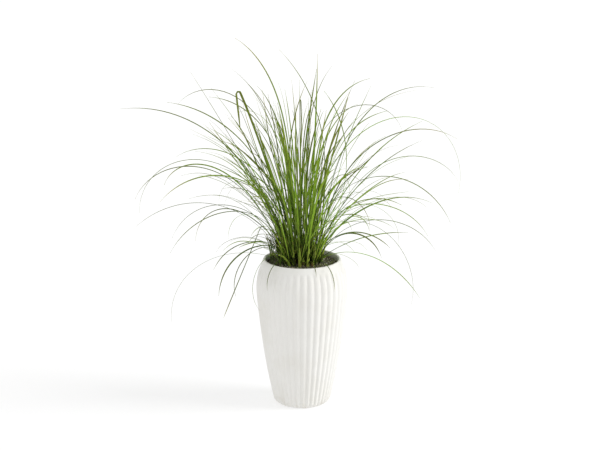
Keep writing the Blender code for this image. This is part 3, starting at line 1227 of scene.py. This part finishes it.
# The blades of each shoot, in the order of the frame's shoot nodes. A scratch program fitted about
# half of these to points picked by eye along the photograph's leaves, and report.md says which.
SHOOT_BLADES = (
    (Blade(0.390, 62, 50, 1.0, 0.33, -65, stout=0.65), Blade(0.530, 92, -45, 1.2, stout=0.8, turn=-100)),
    (Blade(0.490, 64, -46, 1.2, stout=0.35, turn=-95), Blade(0.580, 86, 8, 1.5, stout=0.65, turn=-90)),
    (
        Blade(0.290, 94, -87, 0.6, stout=0.75, tone=0.1, turn=-100),
        Blade(0.580, 64, -70, 2.3, stout=0.45, turn=-100),
    ),
    (Blade(0.440, 18, -99, 1.3, stout=0.15), Blade(0.630, 79, -92, 1.6, stout=0.5)),
    (Blade(0.660, 75, -6, 1.5, stout=0.55, turn=-90), Blade(0.430, 84, 60, 1.5)),
    (
        Blade(0.265, 94, -63, 0.5, stout=0.5, tone=0.1, turn=-100),
        Blade(0.490, 62, -71, 2.6, stout=0.7, turn=-100),
    ),
    (Blade(0.450, 73, -68, 1.0, stout=0.45, turn=-90), Blade(0.510, 88, -36, 1.4, stout=0.45, turn=-90)),
    (Blade(0.420, 42, -89, 1.9, stout=0.6, turn=-100), Blade(0.390, 67, -101, 2.4, stout=0.15)),
    (Blade(0.340, 39, -92, 2.1, stout=0.6), Blade(0.510, 92, -29, 2.5)),
    (Blade(0.280, 63, -111, 1.1, stout=0.55), Blade(0.480, 76, -56, 1.1, stout=0.6, turn=-90)),
    (Blade(0.280, 70, -140, 0.9, stout=0.3, tone=0.4), Blade(0.140, 62, -102, 0.8, stout=0.45, tone=0.0)),
    (Blade(0.340, 75, 1, 1.6), Blade(0.400, 84, 10, 1.5)),
    (
        Blade(0.590, 89, 10, 1.8, stout=0.6, tone=0.2, turn=-90),
        Blade(0.540, 91, 45, 1.6, stout=0.6, turn=-90),
    ),
    (
        Blade(0.660, 83, -49, 3.3, stout=0.6, turn=-90),
        Blade(0.595, 76, 58, 2.6, 0.828, -96, stout=1.05, tone=0.2, turn=85),
    ),
    (Blade(0.570, 70, 56, 0.5, stout=0.8), Blade(0.400, 83, 72, 1.2)),
    (Blade(0.640, 86, 23, 3.4, stout=0.8, turn=-30), Blade(0.460, 90, 78, 1.5)),
    (Blade(0.490, 84, 27, 3.5, stout=0.8, turn=-90), Blade(0.400, 88, 60, 1.5, stout=1.2)),
    (Blade(0.610, 68, 135, 1.3, stout=0.5, turn=90), Blade(0.500, 80, 64, 1.5, stout=0.7)),
    (Blade(0.550, 83, 92, 2.8, stout=0.9, tone=0.95, turn=90), Blade(0.540, 91, 31, 3.5, stout=0.55)),
    (Blade(0.540, 59, 148, 1.4, stout=0.7), Blade(0.480, 80, 62, 1.4)),
    (
        Blade(0.400, 70, -61, 0.9, stout=0.3, turn=100),
        Blade(0.620, 83, -13, 2.4, stout=0.45, tone=0.3, turn=100),
    ),
    (Blade(0.860, 92, -104, 1.4, stout=0.8), Blade(0.450, 88, 58, 1.4)),
    (Blade(0.390, 92, -102, 1.3, stout=0.35), Blade(0.590, 80, -35, 1.9, stout=0.45, turn=100)),
    (Blade(0.320, 53, -60, 0.6, stout=0.45, turn=90), Blade(0.550, 72, -61, 2.2, stout=0.35, turn=100)),
    (Blade(0.430, 90, -63, 1.0, stout=0.6, turn=100), Blade(0.550, 89, 11, 3.7, stout=0.8, turn=90)),
    (Blade(0.630, 92, -76, 2.9, stout=0.4, turn=90), Blade(0.600, 84, 8, 2.0, stout=0.35)),
    (Blade(0.570, 92, -66, 1.2, stout=0.85), Blade(0.420, 88, 52, 1.6)),
    (Blade(0.500, 92, -107, 0.9, stout=0.25), Blade(0.500, 64, 137, 2.1, turn=90)),
    (
        Blade(0.290, 58, -67, 1.8, stout=0.9, tone=0.2, turn=90),
        Blade(0.380, 92, -99, 1.9, stout=0.5, tone=0.2, turn=90),
    ),
    (Blade(0.510, 73, 69, 1.1, stout=0.8), Blade(0.430, 84, 74, 1.2)),
    (Blade(0.145, 62, -100, 0.8, stout=0.45, tone=0.0), Blade(0.410, 82, 10, 1.5)),
    (Blade(0.090, 56, -86, 1.1, stout=0.45, tone=0.0), Blade(0.400, 80, 20, 1.4)),
    (Blade(0.430, 54, -28, 1.1, stout=1.6), Blade(0.460, 70, 13, 0.9, stout=0.45, turn=100)),
    (Blade(0.320, 59, -44, 0.6, stout=0.7, tone=0.1, turn=90), Blade(0.440, 69, -5, 1.5, stout=0.25)),
    (Blade(0.470, 58, -54, 1.2, stout=0.15), Blade(0.420, 84, 34, 1.6, stout=1.2)),
    (Blade(0.270, 30, -10, 1.0, stout=0.6, turn=100), Blade(0.360, 84, 30, 1.5, stout=0.55, turn=90)),
    (Blade(0.540, 60, -62, 1.3, stout=0.6), Blade(0.520, 82, 10, 1.6, stout=1.2)),
    (Blade(0.600, 74, -58, 1.6), Blade(0.460, 86, 34, 1.7, stout=0.6)),
    (Blade(0.480, 52, -74, 1.2), Blade(0.560, 80, -6, 1.5, stout=1.3)),
    (Blade(0.620, 76, -48, 1.7), Blade(0.440, 88, 40, 1.8, stout=1.5)),
    (Blade(0.520, 56, -66, 1.4), Blade(0.520, 82, 14, 1.5)),
    (Blade(0.500, 84, -20, 2.2), Blade(0.470, 88, 60, 1.6, stout=0.6)),
    (Blade(0.480, 86, -10, 2.4), Blade(0.480, 90, 64, 1.6)),
    (Blade(0.560, 80, -14, 1.6), Blade(0.420, 86, 50, 1.5)),
    (Blade(0.340, 74, -20, 1.5, stout=0.7), Blade(0.400, 84, 30, 1.4, stout=0.8)),
    (Blade(0.580, 82, -12, 1.7), Blade(0.440, 88, 50, 1.4, stout=0.6)),
    (Blade(0.520, 76, -16, 1.5), Blade(0.430, 84, 40, 1.4, stout=1.4)),
    (Blade(0.540, 84, 30, 1.8), Blade(0.440, 88, 70, 1.4)),
    (Blade(0.560, 84, 20, 1.8), Blade(0.460, 88, 66, 1.4, stout=0.7)),
    (Blade(0.440, 86, 60, 2.0), Blade(0.470, 89, 80, 1.5, stout=0.6)),
    (Blade(0.460, 84, 40, 1.8), Blade(0.430, 86, 54, 1.4)),
    (Blade(0.560, 90, 84, 1.5, 0.776, 266, tone=0.0, turn=85), Blade(0.480, 84, 80, 1.5)),
    (Blade(0.540, 82, 20, 1.9, stout=1.8, turn=90), Blade(0.440, 88, 64, 1.5, stout=1.4)),
    (Blade(0.560, 86, 40, 2.2, stout=0.8, turn=-90), Blade(0.440, 89, 72, 1.5, stout=1.5)),
)


@dataclass(frozen=True)
class Habit:
    """The ranges that the younger leaves of one kind are drawn from.

    Spread is how far they turn from the shoot's heading, outward how far they may stand from its
    foot, and shade how much deeper their green is.
    """

    length: Range
    launch: Range
    end: Range
    bend: Range = (1.2, 2.2)
    spread: float = 40.0
    width: Range = (0.6, 0.95)
    steps: int = 36
    outward: float = 0.0
    shade: float = 0.0


class Kind(Enum):
    """The kinds of younger leaves, each with its habit."""

    UPRIGHT = Habit((0.36, 0.55), (74.0, 90.0), (40.0, 85.0), width=(0.5, 0.9))
    CROSSING = Habit((0.20, 0.48), (58.0, 86.0), (-5.0, 80.0), (0.9, 2.4), 180.0, (0.45, 0.85), 32)
    LEANING = Habit((0.26, 0.50), (54.0, 76.0), (-45.0, 45.0), width=(0.6, 1.0))
    FANNED = Habit((0.26, 0.50), (62.0, 80.0), (-10.0, 60.0), width=(0.45, 0.8))
    LOW = Habit((0.12, 0.26), (38.0, 68.0), (-80.0, -10.0), spread=50.0, width=(0.35, 0.65), steps=20)
    SHORT = Habit((0.05, 0.14), (60.0, 88.0), (0.0, 70.0), spread=60.0, width=(0.4, 0.7), steps=12)
    TILLER = Habit((0.02, 0.07), (60.0, 110.0), (20.0, 90.0), (1.0, 2.0), 90.0, (0.35, 0.7), 12, 0.01)
    OUTER_TILLER = Habit(
        (0.04, 0.12), (66.0, 105.0), (-30.0, 80.0), (1.0, 2.0), 90.0, (0.35, 0.6), 16, 0.045, 0.4
    )


@dataclass
class GrassClump:
    """The shoots of the clump: in each, two grown blades, younger leaves between them and sheaths.

    Each sheath layer has its share of the height, its share of the width and how dry it may be. The
    seen shoots come first, and the photograph shows their blades one by one. The others fill the
    clump among and behind them, and most of their blades are slimmer and more crooked.
    """

    seed: int = 27
    blade_width: float = 0.0056
    blade_widths: Range = (0.7, 1.1)
    blade_thickness: float = 0.0007
    blade_steps: int = 40
    blade_keel: float = 66.0
    blade_tip: float = 0.18
    tapers: Range = (5.5, 9.0)
    turns: Range = (-50.0, 50.0)
    sways: Range = (-1.0, 1.0)
    waves: Range = (0.5, 2.0)
    dryness: Range = (-0.8, 0.6)
    young_turns: Range = (-80.0, 80.0)
    young_sways: Range = (-14.0, 14.0)
    young_waves: Range = (2.0, 8.0)
    folded_steps: int = 100
    folded_taper: float = 24.0
    section_corners: int = 8
    fold_length: float = 0.016
    base_share: float = 0.80
    widest_at: float = 0.3
    open_by: float = 0.45
    sharp_angle: float = 50.0
    root_above_foot: float = 0.0032
    foot_slice: float = 0.0001
    crown_radius: float = 0.062
    sheath_width: float = 0.0074
    sheath_thickness: float = 0.0050
    sheath_height: float = 0.058
    sheath_heights: Range = (0.85, 1.1)
    sheath_layers: tuple = ((1.0, 0.86, 0.2), (0.62, 1.0, 0.2), (0.34, 1.12, 0.6))
    sheath_taper: float = 7.0
    sheath_tip: float = 0.62
    sheath_steps: int = 12
    sheath_sunk: float = 0.006
    fan_heading: float = 180.0
    fan_reach: float = 55.0
    front_heading: float = -90.0
    front_reach: float = 58.0
    tones: tuple = ((0.0, 0.1), (0.0, 0.3), (0.3, 0.6), (0.65, 0.9), (0.8, 1.0))
    sheath_tones: tuple = ((0.0, 0.1), (0.0, 0.2), (0.0, 0.4), (0.2, 0.6), (0.75, 1.0))
    tiller_limit: float = 0.090
    pale_shoots: tuple = (11, 32, 45)
    pale_tone: float = 0.95
    spent_shoot: int = 31
    seen_shoots: int = 36
    hidden_slimness: float = 0.5
    hidden_sway: float = 20.0
    hidden_waviness: float = 3.0
    sunny_heading: float = 10.0
    sunny_bias: float = 0.22

    def __post_init__(self) -> None:
        """Start the clump's own random numbers."""
        self.random = np.random.default_rng(self.seed)

    def foot_of(self, node: str) -> tuple[float, float, float]:
        """Return the heading, the distance from the axis and the level of a shoot's foot.

        Args:
            node: The shoot's node in the frame.

        Returns:
            The heading, in degrees, and the two lengths.
        """
        points = np.array([vertex.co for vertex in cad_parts[node].data.vertices])
        points = points[np.hypot(points[:, 0], points[:, 1]) < self.crown_radius]
        level = points[:, 2].min()
        low = points[points[:, 2] < level + self.foot_slice]
        x, y, _ = (low.min(axis=0) + low.max(axis=0)) / 2
        return math.degrees(math.atan2(y, x)), math.hypot(x, y), float(level)

    def grown(self, course: Blade, root: Point, heading: float) -> Leaf:
        """Make a full-grown leaf.

        Args:
            course: Its course.
            root: Where it starts.
            heading: Its heading.

        Returns:
            The leaf.
        """
        draw = self.random.uniform
        turn, taper = draw(*self.turns), draw(*self.tapers)
        # Painted light: leaves that face the right, the side the key light comes from, get a brighter,
        # yellower tone.
        facing = math.cos(math.radians(heading - self.sunny_heading))
        tone = draw(*self.tones[self.random.integers(len(self.tones))]) + self.sunny_bias * facing
        return Leaf(
            course=course,
            root=root,
            heading=heading,
            width=self.blade_width * draw(*self.blade_widths) * course.stout,
            thickness=self.blade_thickness,
            keel=self.blade_keel,
            taper=self.folded_taper if course.fold_at else taper,
            tip_share=self.blade_tip,
            sway=draw(*self.sways),
            twist=turn if course.turn is None else course.turn,
            wave=draw(*self.waves),
            phase=draw(0.0, 2 * math.pi),
            steps=self.folded_steps if course.fold_at else self.blade_steps,
            tone=min(max(tone, 0.0), 1.0) if course.tone is None else course.tone,
            dry=max(0.0, draw(*self.dryness)),
        )

    def young(self, habit: Habit, root: Point, heading: float) -> Leaf:
        """Make a younger leaf.

        Args:
            habit: Its habit.
            root: Where the shoot stands.
            heading: The shoot's heading.

        Returns:
            The leaf.
        """
        draw = self.random.uniform
        ranges = (habit.length, habit.launch, habit.end, habit.bend)
        course = Blade(*[draw(*limits) for limits in ranges], stout=draw(*habit.width))
        ring = math.hypot(root[0], root[1])
        swell = min(ring + draw(0.0, habit.outward), max(ring, self.tiller_limit)) / ring
        root = (root[0] * swell, root[1] * swell, root[2])
        leaf = self.grown(course, root, heading + draw(-habit.spread, habit.spread))
        sway, wave, twist = draw(*self.young_sways), draw(*self.young_waves), draw(*self.young_turns)
        bent = {"sway": sway, "wave": wave, "twist": twist}
        tone = max(leaf.tone * (1 - habit.shade) - habit.shade / 2, 0.0)
        return dataclasses.replace(leaf, steps=habit.steps, tone=tone, **bent)

    def kinds(self, number: int, heading: float) -> list[Kind]:
        """Return the kinds of younger leaves that a shoot has.

        Args:
            number: The shoot's number.
            heading: Its heading.

        Returns:
            One kind for each younger leaf.
        """
        kinds = [Kind.SHORT, Kind.TILLER, Kind.CROSSING]
        if number > self.seen_shoots:
            kinds.append(Kind.CROSSING)
        if number % 4 == 0:
            kinds.append(Kind.UPRIGHT)
        elif number % 2 and not self.faces(heading, self.front_heading, self.front_reach):
            kinds.append(Kind.LOW)
        if self.faces(heading, self.fan_heading, self.fan_reach):
            return [*kinds, Kind.SHORT, Kind.FANNED, Kind.FANNED, *[Kind.OUTER_TILLER] * 4]
        return [*kinds, Kind.LEANING] if number % 2 else kinds

    @staticmethod
    def faces(heading: float, middle: float, reach: float) -> bool:
        """Tell whether a heading lies within reach of another."""
        return abs((heading - middle + 180.0) % 360.0 - 180.0) < reach

    def sheaths(self, number: int, blades: tuple[Blade, ...], root: Point, heading: float) -> list[Leaf]:
        """Make the sheaths that wrap the foot of a shoot, the inner one highest.

        Args:
            number: The shoot's number.
            blades: Its grown blades.
            root: Where it stands.
            heading: Its heading.

        Returns:
            The sheaths.
        """
        draw = self.random.uniform
        steepest = max(blades, key=lambda blade: blade.launch)
        pale, last = number in self.pale_shoots, len(self.sheath_layers) - 1
        picks = self.random.integers(len(self.sheath_tones), size=last + 1)
        leaves = []
        for layer, (height, size, driest) in enumerate(self.sheath_layers):
            height *= self.sheath_height
            lean = (steepest.end - steepest.launch) * (height / steepest.length) ** steepest.bend
            length = height * draw(*self.sheath_heights)
            leaf = Leaf(
                course=Blade(length, steepest.launch, steepest.launch + lean, 1.0),
                root=(root[0], root[1], root[2] - self.sheath_sunk),
                heading=heading,
                width=self.sheath_width * size,
                thickness=self.sheath_thickness * size,
                keel=0.0,
                taper=self.sheath_taper,
                tip_share=self.sheath_tip,
                steps=self.sheath_steps,
                tone=self.pale_tone if pale else draw(*self.sheath_tones[picks[layer]]),
                dry=max(draw(0.0, driest), float(number == self.spent_shoot and layer == last)),
                sheath=1.0,
            )
            leaves.append(leaf)
        return leaves

    def shoot(self, number: int, blades: tuple[Blade, ...]) -> list[Leaf]:
        """Make all the leaves of one shoot.

        Args:
            number: The shoot's number.
            blades: Its two grown blades.

        Returns:
            Its sheaths, its blades and its younger leaves.
        """
        heading, ring, level = self.foot_of(f"shoot_{number:02d}")
        x, y = ring * math.cos(math.radians(heading)), ring * math.sin(math.radians(heading))
        root = (x, y, level + self.root_above_foot)
        leaves = self.sheaths(number, blades, root, heading)
        for blade in blades:
            leaf = self.grown(blade, root, heading)
            if number > self.seen_shoots and not blade.fold_at:
                sway = self.random.uniform(-self.hidden_sway, self.hidden_sway)
                width, wave = leaf.width * self.hidden_slimness, leaf.wave * self.hidden_waviness
                leaf = dataclasses.replace(leaf, width=width, sway=sway, wave=wave)
            leaves.append(leaf)
        kinds = self.kinds(number, heading)
        return leaves + [self.young(kind.value, root, heading) for kind in kinds]

    def build(self, growth: LeafGrowth, skin: bpy.types.Material) -> None:
        """Grow every shoot of the clump, each as one piece.

        Args:
            growth: The tree that grows a leaf.
            skin: The leaves' finish.
        """
        for number, blades in enumerate(SHOOT_BLADES, 1):
            node = f"shoot_{number:02d}"
            leaves = self.shoot(number, blades)
            rows = [leaf.numbers() for leaf in leaves]
            numbers = {name: [row[name] for row in rows] for name in rows[0]}
            seed = numbers_mesh([leaf.root for leaf in leaves], [], numbers)
            mesh = growth.tree.grow(f"{node}_leaves", seed, {**vars(self), "material": skin})
            mesh.shade_smooth()
            mesh.set_sharp_from_angle(angle=math.radians(self.sharp_angle))
            show(f"{node}_leaves", mesh, Slot.LEAF, node)


# --- Studio ----------------------------------------------------------------------------------


@dataclass(frozen=True)
class Lamp:
    """A wide lamp, so far off that it lights the floor evenly."""

    name: str
    bearing: float
    height: float
    spread: float
    strength: float

    def hang(self) -> None:
        """Hang the lamp. Its bearing is an angle from the front to the right, in plan."""
        data = bpy.data.lights.new(self.name, "SUN")
        data.energy = self.strength
        data.angle = math.radians(self.spread)
        tilt = math.radians(90 - self.height)
        link(self.name, data).rotation_euler = (tilt, 0.0, math.radians(self.bearing))


@dataclass
class Studio:
    """The plain pale floor, the soft light and the camera of the photograph."""

    floor_size: float = 60.0
    camera_place: Point = (-0.0053, -4.40, 1.67)
    camera_pitch: float = 15.0
    lens: float = 103.5
    sky: float = 0.66
    key: Lamp = Lamp("key", 84.0, 30.0, 30.0, 1.75)
    fill: Lamp = Lamp("fill", -50.0, 50.0, 60.0, 0.45)
    floor_dull: Colour = srgb(184, 184, 184)
    floor_pale: Colour = srgb(188, 188, 188)
    floor_glow: float = 0.52
    floor_cloud_scale: float = 0.6

    def floor(self) -> None:
        """Lay the pale floor."""
        half = self.floor_size / 2
        mesh = bpy.data.meshes.new("studio_floor")
        corners = [(x * half, y * half, 0.0) for x, y in ((-1, -1), (1, -1), (1, 1), (-1, 1))]
        mesh.from_pydata(corners, [], [range(4)])
        tree = MaterialTree("pale_floor")
        cloud = tree.noise(tree.place(), self.floor_cloud_scale, 1.0)
        colour = tree.blend(cloud, self.floor_dull, self.floor_pale)
        glow = {"Emission Color": WHITE, "Emission Strength": self.floor_glow}
        mesh.materials.append(tree.finish({"Base Color": colour, "Roughness": 0.9, **glow}))
        floor = link("studio_floor", mesh)

    def light(self) -> None:
        """Light the object: a white surround, a soft key from the right and a softer fill."""
        world = bpy.data.worlds.new("white_surround")
        world.use_nodes = True
        backdrop = world.node_tree.nodes["Background"].inputs
        backdrop["Color"].default_value = WHITE
        backdrop["Strength"].default_value = self.sky
        bpy.context.scene.world = world
        self.key.hang()
        self.fill.hang()

    def camera(self) -> None:
        """Set the camera at the photograph's angle."""
        data = bpy.data.cameras.new("camera")
        data.lens = self.lens
        camera = link("camera", data)
        camera.location = self.camera_place
        camera.rotation_euler = (math.radians(90 - self.camera_pitch), 0.0, 0.0)
        bpy.context.scene.camera = camera

    def build(self) -> None:
        """Set up the floor, the light and the camera."""
        self.camera()
        self.floor()
        self.light()
        bpy.context.scene.view_settings.view_transform = "Standard"


def main() -> None:
    """Build the studio and every sub-assembly of the object."""
    logging.basicConfig(level=logging.INFO, format="%(name)s: %(message)s")
    Studio().build()
    lathe = Lathe()
    pot = RibbedPot()
    pot.build(lathe, MattGlaze().material())
    CompostBed(pot).build(lathe, Compost().material())
    GrassClump().build(LeafGrowth(), GrassSkin().material())


if __name__ == "__main__":
    main()
